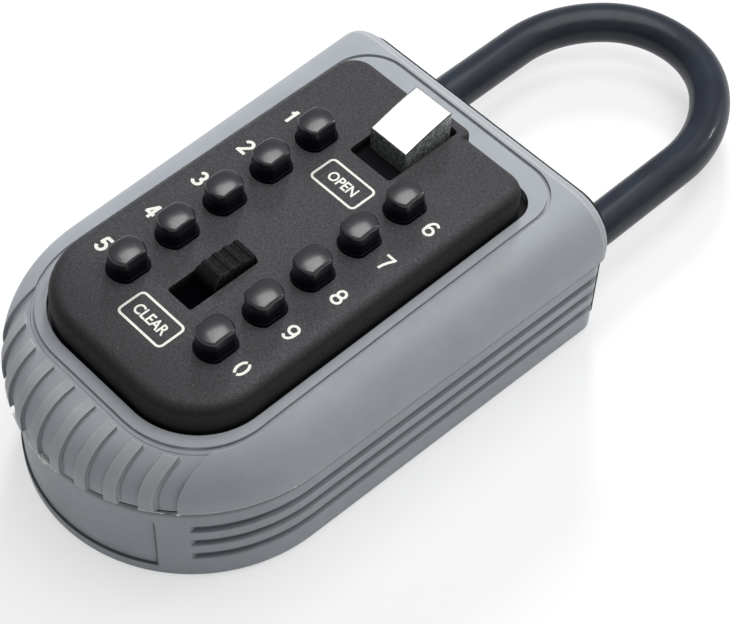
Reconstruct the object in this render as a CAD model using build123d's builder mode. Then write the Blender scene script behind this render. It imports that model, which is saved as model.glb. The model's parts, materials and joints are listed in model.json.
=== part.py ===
from build123d import *
import os
from math import atan2, cos, radians, sin, sqrt

os.makedirs("parts", exist_ok=True)

# Push-button key safe lying on its back. Millimetres, +Z out of the keypad,
# +Y toward the shackle, origin at the centre of the flat back.

# Body outline: a round foot, sides that flare a little and a straight end
foot_centre_y = -18.5
side_flare = 1.5
end_y = 50.1

# Rubber jacket
skirt_radius = 31.0
bulge_overhang = 1.0
bulge_round = 9.0
step_z = 22.0
undercut_height = 0.8
undercut_depth = 0.7
jacket_lift = 0.3
jacket_wall = 2.6
jacket_fit = 0.05
jacket_end_round = 2.4
back_edge_round = 1.2
lip_height = 2.1
lip_gap = 0.6
lip_top_corner = 5.0
lip_side_width = 2.1
lip_foot_width = 2.6
lip_end_width = 4.9
seam_foot_corner = 16.3
seam_top_corner = 8.0
seam_width = 0.7
seam_depth = 0.6

# Tread ribs that wrap the foot of the jacket
rib_count = 8
rib_pitch = 5.3
rib_width = 2.1
rib_height = 0.7
rib_end_gap = 0.8
tread_half = 22.5

# Grip grooves and the bare sunk panel on the skirt
groove_count = 3
groove_top_z = 15.7
groove_pitch = 4.2
groove_width = 2.1
groove_depth = 0.9
groove_start_x = 22.9
panel_half = 18.5
panel_low_z = 3.5
panel_high_z = 17.5
panel_depth = 0.4

# Die-cast body
casting_wall = 2.4
casting_floor = 3.6
casting_round = 6.5
casting_foot_chamfer = 0.5
cavity_round = 4.0
cavity_foot_round = 1.5
rim_z = 31.2
rim_thickness = 2.6
rim_opening_half = 20.1
rim_opening_foot_y = -35.2
rim_opening_top_y = 39.0
rim_foot_corner = 12.0
rim_top_corner = 3.0
end_wall = 2.5
end_plate = 1.0
end_plate_half = 31.2
end_plate_low_z = 0.8
end_plate_high_z = 30.7
end_plate_corner = 6.5
end_plate_foot_corner = 2.0

# Shackle: a steel rod bent to a long U in a vinyl sleeve
shackle_half = 21.3
shackle_z = 8.5
shackle_bend_y = 84.9
flank_radius = 27.0
crown_radius = 19.0
rod_radius = 3.2
sleeve_radius = 4.0
sleeve_gap = 0.05
sleeve_sink = 2.6
sleeve_end_gap = 0.1
rod_tip_y = 37.4
rod_tip_chamfer = 0.6
neck_radius = 2.2
bore_clearance = 0.08
boss_wall = 1.9

# Shackle lock: a fork plate in the necks of the rod, pressed down by two springs
lock_plate_y = 39.6
lock_plate_thickness = 1.5
lock_clearance = 0.15
lock_lift = 5.2
tine_reach = 1.7
tine_wall = 1.7
bridge_low_z = 12.2
bridge_high_z = 15.0
lock_shelf_half = 15.0
lock_shelf_depth = 5.2
lock_tab_half = 4.0
lock_tab_length = 4.2
lock_tab_thickness = 1.4
lock_spring_x = 12.0
lock_spring_radius = 1.7
lock_spring_bore = 1.1
lock_cover_thickness = 1.2
lock_cover_gap = 0.2
lock_cover_floor_gap = 0.1
lock_cover_top_z = 26.4
lock_cover_end_y = 46.4
rod_hole_gap = 0.4
window_gap = 0.4
post_x = 9.0
post_z = 7.0
post_radius = 2.6

# Front cover
face_z = 39.0
cover_half = 22.2
cover_foot_y = -37.3
cover_top_y = 40.2
cover_foot_corner = 13.4
cover_top_corner = 4.8
cover_edge_round = 2.6
cover_plate = 2.2
cover_wall = 1.9
hook_half = 9.0
hook_wall = 1.8
hook_gap = 0.6
hook_thickness = 1.4
hook_reach = 2.4

# Buttons: two columns of five
button_x = 10.95
button_pitch = 10.6
button_mid_y = -1.0
button_rows = 5
button_height = 5.1
button_travel = 2.5
cap_radius = 3.4
cap_half_width = 2.7
cap_corner_round = 1.1
cap_crown_radius = 7.0
cap_edge_round = 0.7
cap_narrowing = 0.2
collar_step = 0.25
collar_rise = 0.5
collar_gap = 0.12
flange_radius = 4.3
flange_thickness = 1.5
stem_radius = 2.0
stem_gap = 0.1
button_spring_radius = 3.0
button_spring_bore = 2.2
groove_sink = 0.4

# Layers of the lock mechanism behind the cover, from the front to the back
guide_top_z = 31.6
guide_thickness = 1.6
guide_half = 19.2
guide_foot_y = -28.5
guide_top_y = 25.0
guide_foot_corner = 9.0
plate_corner = 2.0
plate_gap = 0.2
clear_plate_thickness = 1.0
code_plate_thickness = 1.2
slide_half = 14.6
slide_foot_y = -26.9
clear_plate_top_y = 24.6
code_plate_top_y = 28.4
rear_thickness = 1.0
rear_z = 24.4
rear_half = 19.2
rear_foot_y = -31.0
rear_top_y = 37.0
rear_foot_corner = 10.0
peg_head_radius = 2.8
peg_head_gap = 0.1
peg_head_top_z = 26.4
peg_tip_z = 23.2
peg_slot_width = 0.8
peg_slot_depth = 1.0
peg_notch_depth = 0.8

# Open latch: thumb block above the face, bolt plate behind
latch_slot_half = 5.0
latch_slot_front_y = 22.3
latch_slot_rear_y = 39.2
latch_slot_corner = 0.8
latch_boss_half = 6.6
latch_boss_y = 41.3
latch_boss_round = 1.6
latch_boss_top_round = 1.2
thumb_half = 4.4
thumb_front_y = 26.7
thumb_rear_y = 37.9
thumb_front_z = 41.8
thumb_rear_z = 44.5
thumb_crown = 0.25
thumb_edge_round = 0.35
latch_travel = 4.3
latch_flange_half = 6.4
latch_flange_thickness = 1.8
latch_flange_front_y = 20.6
latch_flange_gap = 0.15
latch_leg_half = 3.6
latch_leg_front_y = 30.0
latch_leg_rear_y = 35.5
bolt_half = 7.0
bolt_tip_y = 41.4
slide_spring_radius = 1.5
slide_spring_bore = 0.9
spring_seat_half = 2.4
spring_seat_thickness = 1.6
open_seat_y = 18.0
seat_gap = 0.15

# Clear slide: ridged thumb piece in its slot
clear_slot_half = 2.95
clear_slot_front_y = -20.7
clear_slot_rear_y = -5.6
clear_slot_corner = 0.6
clear_half = 2.6
clear_front_y = -15.2
clear_rear_y = -5.9
clear_front_rise = 1.7
clear_rear_rise = 1.1
clear_crown = 0.25
clear_nose_length = 1.7
clear_side_round = 0.8
clear_nose_drop = 0.5
clear_travel = 5.0
clear_ridges = 4
ridge_pitch = 2.3
ridge_width = 0.7
ridge_height = 0.35
clear_flange_half = 4.2
clear_flange_thickness = 1.5
clear_flange_lap = 0.8
clear_leg_half = 1.5
clear_leg_front_y = -12.6
clear_leg_rear_y = -7.0
clear_leg_gap = 0.3
clear_seat_y = -22.0

# Screws
screw_x = 17.1
screw_radius = 1.2
screw_gap = 0.1
thread_gap = 0.05
screw_head_radius = 2.2
screw_head_height = 1.2
screw_slot_width = 0.6
screw_slot_depth = 0.6
screw_post_radius = 2.4
spacer_radius = 2.25
screw_bite = 2.4
screw_tip_gap = 0.4

# Places worked out from the sizes above
bulge_radius = skirt_radius + bulge_overhang
lip_z = rim_z + lip_height
lip_half = cover_half + lip_gap
lip_foot_y = cover_foot_y - lip_gap
lip_top_y = latch_boss_y + lip_gap
lip_foot_corner = cover_foot_corner + lip_gap
seam_half = lip_half + lip_side_width
seam_foot_y = lip_foot_y - lip_foot_width
seam_top_y = lip_top_y + lip_end_width
casting_radius = skirt_radius - jacket_wall
cavity_radius = casting_radius - casting_wall
cavity_end_y = end_y - end_wall
lock_cover_half = cavity_radius
plate_outer_y = end_y + end_plate
rim_low_z = rim_z - rim_thickness
underside_z = face_z - cover_plate
flange_low_z = underside_z - flange_thickness
stem_hole = stem_radius + stem_gap
guide_low_z = guide_top_z - guide_thickness
clear_plate_top_z = guide_low_z - 2 * plate_gap
clear_plate_low_z = clear_plate_top_z - clear_plate_thickness
code_plate_top_z = clear_plate_low_z - plate_gap
code_plate_low_z = code_plate_top_z - code_plate_thickness
rear_top_z = rear_z + rear_thickness
stem_low_z = guide_low_z - plate_gap / 2
latch_flange_top_z = underside_z - latch_flange_gap
latch_flange_low_z = latch_flange_top_z - latch_flange_thickness
clear_flange_top_z = underside_z - latch_flange_gap
clear_flange_low_z = clear_flange_top_z - clear_flange_thickness
clear_flange_front_y = clear_slot_front_y - clear_flange_lap
clear_flange_rear_y = clear_slot_rear_y + clear_travel + clear_flange_lap
boss_front_y = lock_plate_y + lock_plate_thickness + lock_clearance
boss_radius = rod_radius + bore_clearance + boss_wall
sleeve_start_y = plate_outer_y - sleeve_sink
lock_cover_rear_y = lock_plate_y - lock_cover_gap
lock_cover_front_y = lock_cover_rear_y - lock_cover_thickness
lock_cover_ceiling_z = lock_cover_top_z - lock_cover_thickness
fork_slot_radius = neck_radius + lock_clearance
fork_half = fork_slot_radius + tine_wall
fork_low_z = shackle_z - tine_reach
hook_front_y = rim_opening_foot_y + hook_gap
hook_low_z = rim_low_z - plate_gap - hook_thickness
slide_spring_z = guide_top_z + slide_spring_radius + seat_gap
screw_ys = [button_mid_y + side * 1.5 * button_pitch for side in (1, -1)]
screw_places = [(side * screw_x, y) for side in (-1, 1) for y in screw_ys]
button_ys = [
    button_mid_y + ((button_rows - 1) / 2 - row) * button_pitch
    for row in range(button_rows)
]
button_places = [(side * button_x, y) for side in (-1, 1) for y in button_ys]
button_names = ["1", "2", "3", "4", "5", "6", "7", "8", "9", "0"]
leg_xs = (-shackle_half, shackle_half)
post_xs = (-post_x, post_x)


def side_x(radius, y):
    """Half width of the flared outline of this radius at a height y."""
    flare = radians(side_flare)
    return (radius + (y - foot_centre_y) * sin(flare)) / cos(flare)


def shield(radius, end):
    """Outline with a round foot, flared sides tangent to it and a straight end."""
    flare = radians(side_flare)
    foot_x = radius * cos(flare)
    foot_y = foot_centre_y - radius * sin(flare)
    end_x = side_x(radius, end)
    with BuildSketch() as outline:
        with BuildLine():
            ThreePointArc((-foot_x, foot_y), (0, foot_centre_y - radius), (foot_x, foot_y))
            Polyline((foot_x, foot_y), (end_x, end), (-end_x, end), (-foot_x, foot_y))
        make_face()
    return outline.sketch


def panel(half, foot, top, foot_corner, top_corner):
    """Upright outline with large corners at the foot and small ones at the top."""
    with BuildSketch() as outline:
        with Locations((0, (foot + top) / 2)):
            Rectangle(2 * half, top - foot)
        fillet(outline.vertices().group_by(Axis.Y)[0], foot_corner)
        fillet(outline.vertices().group_by(Axis.Y)[-1], top_corner)
    return outline.sketch


def flatted(grow):
    """Button outline with its two flats, moved out by grow, at the sketch's origin."""
    with BuildSketch() as outline:
        Circle(cap_radius + grow)
        Rectangle(2 * (cap_half_width + grow), 2 * (cap_radius + grow), mode=Mode.INTERSECT)
        fillet(outline.vertices(), cap_corner_round + grow)
    return outline.sketch


def bar(half, front, rear):
    """Plain rectangle along Y, centred on the symmetry plane."""
    with Locations((0, (front + rear) / 2)):
        Rectangle(2 * half, rear - front)


def finish(piece, name):
    """Name a finished piece and write its file."""
    piece.part.label = name
    export_step(piece.part, f"parts/{name}.step")


def seam_outline(grow):
    """The outline on which the jacket's seam groove runs, moved out by grow."""
    return panel(
        seam_half + grow,
        seam_foot_y - grow,
        seam_top_y + grow,
        seam_foot_corner + grow,
        seam_top_corner + grow,
    )


def bulge_block(inset):
    """The bulge with its big round edge, drawn smaller by the inset."""
    with BuildPart() as block:
        with BuildSketch(Plane.XY.offset(step_z)):
            add(shield(bulge_radius - inset, end_y))
        extrude(amount=lip_z - inset - step_z)
        top = block.faces().sort_by(Axis.Z)[-1]
        fillet(top.edges().sort_by(Axis.Y)[:-1], bulge_round - inset)
        end = block.faces().sort_by(Axis.Y)[-1]
        fillet(end.edges().sort_by(Axis.Z)[1:], jacket_end_round)
    return block.part


def casting_block(grow, low_z):
    """Outer shape of the casting inside the jacket, moved out by grow."""
    with BuildPart() as block:
        with BuildSketch(Plane.XY.offset(low_z)):
            add(shield(casting_radius + grow, end_y))
        extrude(amount=rim_z + grow - low_z)
        top = block.faces().sort_by(Axis.Z)[-1]
        fillet(top.edges().sort_by(Axis.Y)[:-1], casting_round)
    return block.part


# Outlines that more than one piece follows
end_reach_y = end_y + end_plate
lip_outline = panel(lip_half, lip_foot_y, lip_top_y, lip_foot_corner, lip_top_corner)
rim_outline = panel(
    rim_opening_half,
    rim_opening_foot_y,
    rim_opening_top_y,
    rim_foot_corner,
    rim_top_corner,
)
cover_outline = panel(
    cover_half, cover_foot_y, cover_top_y, cover_foot_corner, cover_top_corner
)
cover_hollow = panel(
    cover_half - cover_wall,
    cover_foot_y + cover_wall,
    cover_top_y - cover_wall,
    cover_foot_corner - cover_wall,
    cover_top_corner - cover_wall,
)
seam_inside = seam_outline(-seam_width / 2)
seam_outside = seam_outline(seam_width / 2)
rib_end_outline = seam_outline(seam_width / 2 + rib_end_gap)

# Blocks that shape the jacket
bulge = bulge_block(0)
tread_floor = bulge_block(rib_height)
seam_floor = bulge_block(seam_depth)
casting_hollow = casting_block(jacket_fit, 0)

with BuildPart() as skirt:
    with BuildSketch(Plane.XY.offset(jacket_lift)):
        add(shield(skirt_radius, end_y))
    extrude(amount=step_z - jacket_lift)
    fillet(skirt.edges().filter_by(Axis.Z).group_by(Axis.Y)[-1], jacket_end_round)
    fillet(skirt.faces().sort_by(Axis.Z)[0].edges(), back_edge_round)

# Shadow gap right under the bulge
with BuildPart() as undercut:
    with BuildSketch(Plane.XY.offset(step_z - undercut_height)):
        add(shield(bulge_radius, end_y))
        add(shield(skirt_radius - undercut_depth, end_reach_y), mode=Mode.SUBTRACT)
    extrude(amount=undercut_height)

# Grip grooves: they start beside the foot and run out at the shackle end
with BuildPart() as grip_grooves:
    for row in range(groove_count):
        groove_z = groove_top_z - row * groove_pitch
        with BuildSketch(Plane.XY.offset(groove_z - groove_width / 2)):
            add(shield(bulge_radius, end_y))
            add(shield(skirt_radius - groove_depth, end_reach_y), mode=Mode.SUBTRACT)
            with Locations((0, foot_centre_y - bulge_radius)):
                Rectangle(2 * groove_start_x, 2 * bulge_radius, mode=Mode.SUBTRACT)
        extrude(amount=groove_width)

# Bare sunk panel across the foot
with BuildPart() as foot_panel:
    with BuildSketch(Plane.XY.offset(panel_low_z)):
        add(shield(bulge_radius, foot_centre_y))
        add(shield(skirt_radius - panel_depth, end_y), mode=Mode.SUBTRACT)
        with Locations((0, foot_centre_y - bulge_radius)):
            Rectangle(2 * panel_half, 2 * bulge_radius, mode=Mode.INTERSECT)
    extrude(amount=panel_high_z - panel_low_z)

# Valleys between the tread ribs
with BuildPart() as tread_valleys:
    with BuildSketch(Plane.XY.offset(step_z)):
        bar(tread_half, foot_centre_y - 2 * bulge_radius, foot_centre_y)
        add(seam_outside, mode=Mode.SUBTRACT)
    extrude(amount=lip_z)
    with BuildSketch(Plane.XY.offset(step_z)):
        for rib in range(rib_count):
            rib_x = (rib - (rib_count - 1) / 2) * rib_pitch
            with Locations((rib_x, foot_centre_y - bulge_radius)):
                Rectangle(rib_width, 2 * bulge_radius)
        add(rib_end_outline, mode=Mode.SUBTRACT)
    extrude(amount=lip_z, mode=Mode.SUBTRACT)
    add(tread_floor, mode=Mode.SUBTRACT)

# Thin seam between the lip and the bulge
with BuildPart() as seam_groove:
    with BuildSketch(Plane.XY.offset(step_z)):
        add(seam_outside)
        add(seam_inside, mode=Mode.SUBTRACT)
    extrude(amount=lip_z)
    add(seam_floor, mode=Mode.SUBTRACT)

with BuildPart() as rubber_jacket:
    add(bulge)
    add(skirt.part)
    add(undercut.part, mode=Mode.SUBTRACT)
    add(grip_grooves.part, mode=Mode.SUBTRACT)
    add(foot_panel.part, mode=Mode.SUBTRACT)
    add(tread_valleys.part, mode=Mode.SUBTRACT)
    add(seam_groove.part, mode=Mode.SUBTRACT)
    add(casting_hollow, mode=Mode.SUBTRACT)
    with BuildSketch(Plane.XY.offset(rim_z)):
        add(lip_outline)
    extrude(amount=lip_z, mode=Mode.SUBTRACT)
finish(rubber_jacket, "rubber_jacket")

# Die-cast body: hollow for the keys, open at the front inside a rim
with BuildPart() as cavity:
    with BuildSketch(Plane.XY.offset(casting_floor)):
        add(shield(cavity_radius, cavity_end_y))
    extrude(amount=rim_low_z - casting_floor)
    fillet(cavity.faces().sort_by(Axis.Z)[-1].edges(), cavity_round)
    fillet(cavity.faces().sort_by(Axis.Z)[0].edges(), cavity_foot_round)

with BuildPart() as body_casting:
    add(casting_block(0, 0))
    foot_face = body_casting.faces().sort_by(Axis.Z)[0]
    chamfer(foot_face.edges().sort_by(Axis.Y)[:-1], casting_foot_chamfer)
    with BuildSketch(Plane.XZ.offset(-end_y)) as plate_outline:
        with Locations((0, (end_plate_low_z + end_plate_high_z) / 2)):
            Rectangle(2 * end_plate_half, end_plate_high_z - end_plate_low_z)
        fillet(plate_outline.vertices().group_by(Axis.Y)[0], end_plate_foot_corner)
        fillet(plate_outline.vertices().group_by(Axis.Y)[-1], end_plate_corner)
    extrude(amount=-end_plate)
    add(cavity.part, mode=Mode.SUBTRACT)
    with BuildSketch(Plane.XY.offset(rim_low_z)):
        add(rim_outline)
    extrude(amount=rim_thickness, mode=Mode.SUBTRACT)
    # Bosses for the shackle legs and posts for the lock cover
    with BuildSketch(Plane.XZ.offset(-boss_front_y)):
        with Locations(*[(x, shackle_z) for x in leg_xs]):
            Circle(boss_radius)
    extrude(amount=boss_front_y - end_y)
    with BuildSketch(Plane.XZ.offset(-lock_cover_rear_y)):
        with Locations(*[(x, post_z) for x in post_xs]):
            Circle(post_radius)
    extrude(amount=lock_cover_rear_y - end_y)
    # Bores for the rod and, wider, for the sunk ends of the sleeve
    with BuildSketch(Plane.XZ.offset(-boss_front_y)):
        with Locations(*[(x, shackle_z) for x in leg_xs]):
            Circle(rod_radius + bore_clearance)
    extrude(amount=boss_front_y - plate_outer_y, mode=Mode.SUBTRACT)
    with BuildSketch(Plane.XZ.offset(-(sleeve_start_y - sleeve_end_gap))):
        with Locations(*[(x, shackle_z) for x in leg_xs]):
            Circle(sleeve_radius + bore_clearance)
    extrude(amount=-(sleeve_sink + sleeve_end_gap), mode=Mode.SUBTRACT)
    with BuildSketch(Plane.XZ.offset(-lock_cover_rear_y)):
        with Locations(*[(x, post_z) for x in post_xs]):
            Circle(screw_radius + thread_gap)
    extrude(amount=-(screw_bite + screw_tip_gap), mode=Mode.SUBTRACT)
finish(body_casting, "body_casting")


# Shackle
def shackle_path(start_y):
    """The U from one leg over the bend to the other, as lines and tangent arcs."""
    flank_x = flank_radius - shackle_half
    crown_rise = sqrt((flank_radius - crown_radius) ** 2 - flank_x**2)
    turn = atan2(crown_rise, flank_x)
    join = (
        flank_radius * cos(turn) - flank_x,
        shackle_bend_y + flank_radius * sin(turn),
    )
    middle = (
        flank_radius * cos(turn / 2) - flank_x,
        shackle_bend_y + flank_radius * sin(turn / 2),
    )
    crown = (0, shackle_bend_y + crown_rise + crown_radius)
    leg_start = (shackle_half, start_y)
    leg_end = (shackle_half, shackle_bend_y)
    with BuildLine(Plane.XY.offset(shackle_z)) as path:
        Line((-leg_start[0], leg_start[1]), (-leg_end[0], leg_end[1]))
        ThreePointArc((-leg_end[0], leg_end[1]), (-middle[0], middle[1]), (-join[0], join[1]))
        ThreePointArc((-join[0], join[1]), crown, join)
        ThreePointArc(join, middle, leg_end)
        Line(leg_end, leg_start)
    return path.wire()


with BuildPart() as shackle_rod:
    with BuildSketch(Plane((-shackle_half, rod_tip_y, shackle_z), z_dir=(0, 1, 0))):
        Circle(rod_radius)
    sweep(path=shackle_path(rod_tip_y))
    chamfer(shackle_rod.edges().group_by(Axis.Y)[0], rod_tip_chamfer)
    # Necks that the fork plate drops into
    neck_front_y = lock_plate_y - lock_clearance
    with BuildSketch(Plane.XZ.offset(-neck_front_y)):
        with Locations(*[(x, shackle_z) for x in leg_xs]):
            Circle(sleeve_radius)
            Circle(neck_radius, mode=Mode.SUBTRACT)
    extrude(amount=neck_front_y - boss_front_y, mode=Mode.SUBTRACT)
finish(shackle_rod, "shackle_rod")

with BuildPart() as shackle_sleeve:
    with BuildSketch(Plane((-shackle_half, sleeve_start_y, shackle_z), z_dir=(0, 1, 0))):
        Circle(sleeve_radius)
        Circle(rod_radius + sleeve_gap, mode=Mode.SUBTRACT)
    sweep(path=shackle_path(sleeve_start_y))
finish(shackle_sleeve, "shackle_sleeve")

# Fork plate of the shackle lock
with BuildPart() as shackle_lock_plate:
    with BuildSketch(Plane.XZ.offset(-lock_plate_y)):
        with Locations((0, (bridge_low_z + bridge_high_z) / 2)):
            Rectangle(2 * (shackle_half + fork_half), bridge_high_z - bridge_low_z)
        with Locations(*[(x, (fork_low_z + bridge_low_z) / 2) for x in leg_xs]):
            Rectangle(2 * fork_half, bridge_low_z - fork_low_z)
        with Locations(*[(x, shackle_z) for x in leg_xs]):
            Circle(fork_slot_radius, mode=Mode.SUBTRACT)
        with Locations(*[(x, (fork_low_z + shackle_z) / 2) for x in leg_xs]):
            Rectangle(2 * fork_slot_radius, shackle_z - fork_low_z, mode=Mode.SUBTRACT)
    extrude(amount=-lock_plate_thickness)
    with BuildSketch(Plane.XZ.offset(-lock_plate_y)):
        with Locations((0, bridge_low_z + lock_tab_thickness / 2)):
            Rectangle(2 * lock_tab_half, lock_tab_thickness)
    extrude(amount=lock_tab_length)
    with BuildSketch(Plane.XY.offset(bridge_high_z)):
        bar(lock_shelf_half, lock_plate_y, lock_plate_y + lock_shelf_depth)
    extrude(amount=-lock_plate_thickness)
finish(shackle_lock_plate, "shackle_lock_plate")

lock_spring_y = lock_plate_y + lock_shelf_depth - lock_spring_radius - lock_clearance
with BuildPart() as shackle_lock_springs:
    with BuildSketch(Plane.XY.offset(bridge_high_z)):
        with Locations(*[(side * lock_spring_x, lock_spring_y) for side in (-1, 1)]):
            Circle(lock_spring_radius)
            Circle(lock_spring_bore, mode=Mode.SUBTRACT)
    extrude(amount=lock_cover_ceiling_z - bridge_high_z)
finish(shackle_lock_springs, "shackle_lock_springs")

# Bent steel cover over the fork plate
with BuildPart() as lock_cover:
    lock_cover_low_z = casting_floor + lock_cover_floor_gap
    with BuildSketch(Plane.XZ.offset(-lock_cover_front_y)):
        with Locations((0, (lock_cover_low_z + lock_cover_top_z) / 2)):
            Rectangle(2 * lock_cover_half, lock_cover_top_z - lock_cover_low_z)
    extrude(amount=-lock_cover_thickness)
    with BuildSketch(Plane.XY.offset(lock_cover_top_z)):
        bar(lock_cover_half, lock_cover_front_y, lock_cover_end_y)
    extrude(amount=-lock_cover_thickness)
    with BuildSketch(Plane.XZ.offset(-lock_cover_front_y)):
        with Locations(*[(x, shackle_z) for x in leg_xs]):
            Circle(rod_radius + rod_hole_gap)
        with Locations(*[(x, post_z) for x in post_xs]):
            Circle(screw_radius + screw_gap)
        window_low_z = bridge_low_z - window_gap
        window_high_z = bridge_low_z + lock_tab_thickness + lock_lift + window_gap
        with Locations((0, (window_low_z + window_high_z) / 2)):
            Rectangle(2 * (lock_tab_half + window_gap), window_high_z - window_low_z)
    extrude(amount=-lock_cover_thickness, mode=Mode.SUBTRACT)
finish(lock_cover, "lock_cover")

with BuildPart() as lock_cover_screws:
    with BuildSketch(Plane.XZ.offset(-lock_cover_front_y)):
        with Locations(*[(x, post_z) for x in post_xs]):
            Circle(screw_radius)
    extrude(amount=-(lock_cover_thickness + screw_bite))
    with BuildSketch(Plane.XZ.offset(-lock_cover_front_y)):
        with Locations(*[(x, post_z) for x in post_xs]):
            Circle(screw_head_radius)
    extrude(amount=screw_head_height)
    with BuildSketch(Plane.XZ.offset(-(lock_cover_front_y - screw_head_height))):
        with Locations(*[(x, post_z) for x in post_xs]):
            Rectangle(2 * screw_head_radius, screw_slot_width)
    extrude(amount=-screw_slot_depth, mode=Mode.SUBTRACT)
finish(lock_cover_screws, "lock_cover_screws")

# Boss on the front cover round the rear end of the latch slot
with BuildPart() as latch_boss:
    with BuildSketch(Plane.XY.offset(rim_z)) as boss_outline:
        bar(latch_boss_half, cover_top_y - 3 * cover_edge_round, latch_boss_y)
        fillet(boss_outline.vertices().group_by(Axis.Y)[-1], latch_boss_round)
    extrude(amount=face_z - rim_z)
    fillet(latch_boss.faces().sort_by(Axis.Z)[-1].edges(), latch_boss_top_round)

# Front cover with its slots, button holes, screw posts and foot hook
with BuildPart() as front_cover:
    with BuildSketch(Plane.XY.offset(rim_z)):
        add(cover_outline)
    extrude(amount=face_z - rim_z)
    fillet(front_cover.faces().sort_by(Axis.Z)[-1].edges(), cover_edge_round)
    add(latch_boss.part)
    with BuildSketch(Plane.XY.offset(rim_z)):
        add(cover_hollow)
    extrude(amount=underside_z - rim_z, mode=Mode.SUBTRACT)
    # Posts for the screws
    with BuildSketch(Plane.XY.offset(guide_top_z)):
        with Locations(*screw_places):
            Circle(screw_post_radius)
    extrude(amount=underside_z - guide_top_z)
    with BuildSketch(Plane.XY.offset(guide_top_z)):
        with Locations(*screw_places):
            Circle(screw_radius + thread_gap)
    extrude(amount=screw_bite + screw_tip_gap, mode=Mode.SUBTRACT)
    # Hook at the foot, which reaches under the rim of the casting
    with BuildSketch(Plane.XY.offset(hook_low_z)):
        bar(hook_half, hook_front_y, hook_front_y + hook_wall)
    extrude(amount=underside_z - hook_low_z)
    with BuildSketch(Plane.XY.offset(rim_z + plate_gap)):
        bar(hook_half, cover_foot_y + cover_wall / 2, hook_front_y)
    extrude(amount=underside_z - rim_z - plate_gap)
    with BuildSketch(Plane.XY.offset(hook_low_z)):
        bar(hook_half, hook_front_y - hook_reach, hook_front_y)
    extrude(amount=hook_thickness)
    # Openings in the face
    with BuildSketch(Plane.XY.offset(underside_z)):
        with Locations(*button_places):
            add(flatted(collar_step + collar_gap))
    extrude(amount=cover_plate, mode=Mode.SUBTRACT)
    with BuildSketch(Plane.XY.offset(underside_z)) as slots:
        bar(latch_slot_half, latch_slot_front_y, latch_slot_rear_y)
        fillet(slots.vertices(), latch_slot_corner)
    extrude(amount=cover_plate, mode=Mode.SUBTRACT)
    with BuildSketch(Plane.XY.offset(underside_z)) as clear_slot:
        bar(clear_slot_half, clear_slot_front_y, clear_slot_rear_y)
        fillet(clear_slot.vertices(), clear_slot_corner)
    extrude(amount=cover_plate, mode=Mode.SUBTRACT)
finish(front_cover, "front_cover")

# Guide frame: guides the stems, seats the springs and spaces the rear plate
guide_outline = panel(guide_half, guide_foot_y, guide_top_y, guide_foot_corner, plate_corner)
with BuildPart() as guide_frame:
    with BuildSketch(Plane.XY.offset(guide_low_z)):
        add(guide_outline)
        with Locations(*button_places):
            Circle(stem_hole, mode=Mode.SUBTRACT)
    extrude(amount=guide_thickness)
    with BuildSketch(Plane.XY.offset(guide_low_z)):
        bar(
            clear_leg_half + clear_leg_gap,
            clear_leg_front_y - clear_travel - clear_leg_gap,
            clear_leg_rear_y + clear_leg_gap,
        )
    extrude(amount=guide_thickness, mode=Mode.SUBTRACT)
    with BuildSketch(Plane.XY.offset(rear_top_z)):
        with Locations(*screw_places):
            Circle(spacer_radius)
    extrude(amount=guide_low_z - rear_top_z)
    with BuildSketch(Plane.XY.offset(rear_top_z)):
        with Locations(*screw_places):
            Circle(screw_radius + screw_gap)
    extrude(amount=guide_top_z - rear_top_z, mode=Mode.SUBTRACT)
    # Upright seats for the two slide springs
    seat_height = latch_flange_low_z - seat_gap - guide_top_z
    with BuildSketch(Plane.XY.offset(guide_top_z)):
        bar(spring_seat_half, open_seat_y - spring_seat_thickness, open_seat_y)
        bar(spring_seat_half, clear_seat_y - spring_seat_thickness, clear_seat_y)
    extrude(amount=seat_height)
finish(guide_frame, "guide_frame")


# Sliding plates: slots that clear the pegs over the whole travel
def peg_slots(travel):
    """Slots round the pegs, long enough for a plate that slides toward the foot."""
    slot_end = stem_radius + plate_gap
    places = [(x, y + travel / 2) for x, y in button_places]
    with Locations(*places):
        Rectangle(2 * slot_end, 2 * slot_end + travel, mode=Mode.SUBTRACT)


with BuildPart() as clear_plate:
    with BuildSketch(Plane.XY.offset(clear_plate_low_z)):
        bar(slide_half, slide_foot_y, clear_plate_top_y)
        peg_slots(clear_travel)
    extrude(amount=clear_plate_thickness)
finish(clear_plate, "clear_plate")

with BuildPart() as code_plate:
    with BuildSketch(Plane.XY.offset(code_plate_low_z)):
        bar(slide_half, slide_foot_y, code_plate_top_y)
        peg_slots(latch_travel)
        bar(bolt_half, clear_plate_top_y, bolt_tip_y)
    extrude(amount=code_plate_thickness)
finish(code_plate, "code_plate")

rear_outline = panel(rear_half, rear_foot_y, rear_top_y, rear_foot_corner, plate_corner)
with BuildPart() as rear_plate:
    with BuildSketch(Plane.XY.offset(rear_z)):
        add(rear_outline)
        with Locations(*button_places):
            Circle(peg_head_radius + peg_head_gap, mode=Mode.SUBTRACT)
        with Locations(*screw_places):
            Circle(screw_radius + screw_gap, mode=Mode.SUBTRACT)
    extrude(amount=rear_thickness)
finish(rear_plate, "rear_plate")

with BuildPart() as rear_plate_screws:
    with BuildSketch(Plane.XY.offset(rear_z)):
        with Locations(*screw_places):
            Circle(screw_radius)
    extrude(amount=guide_top_z + screw_bite - rear_z)
    with BuildSketch(Plane.XY.offset(rear_z - screw_head_height)):
        with Locations(*screw_places):
            Circle(screw_head_radius)
    extrude(amount=screw_head_height)
    with BuildSketch(Plane.XY.offset(rear_z - screw_head_height)):
        with Locations(*screw_places):
            Rectangle(2 * screw_head_radius, screw_slot_width)
    extrude(amount=screw_slot_depth, mode=Mode.SUBTRACT)
finish(rear_plate_screws, "rear_plate_screws")

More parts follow.
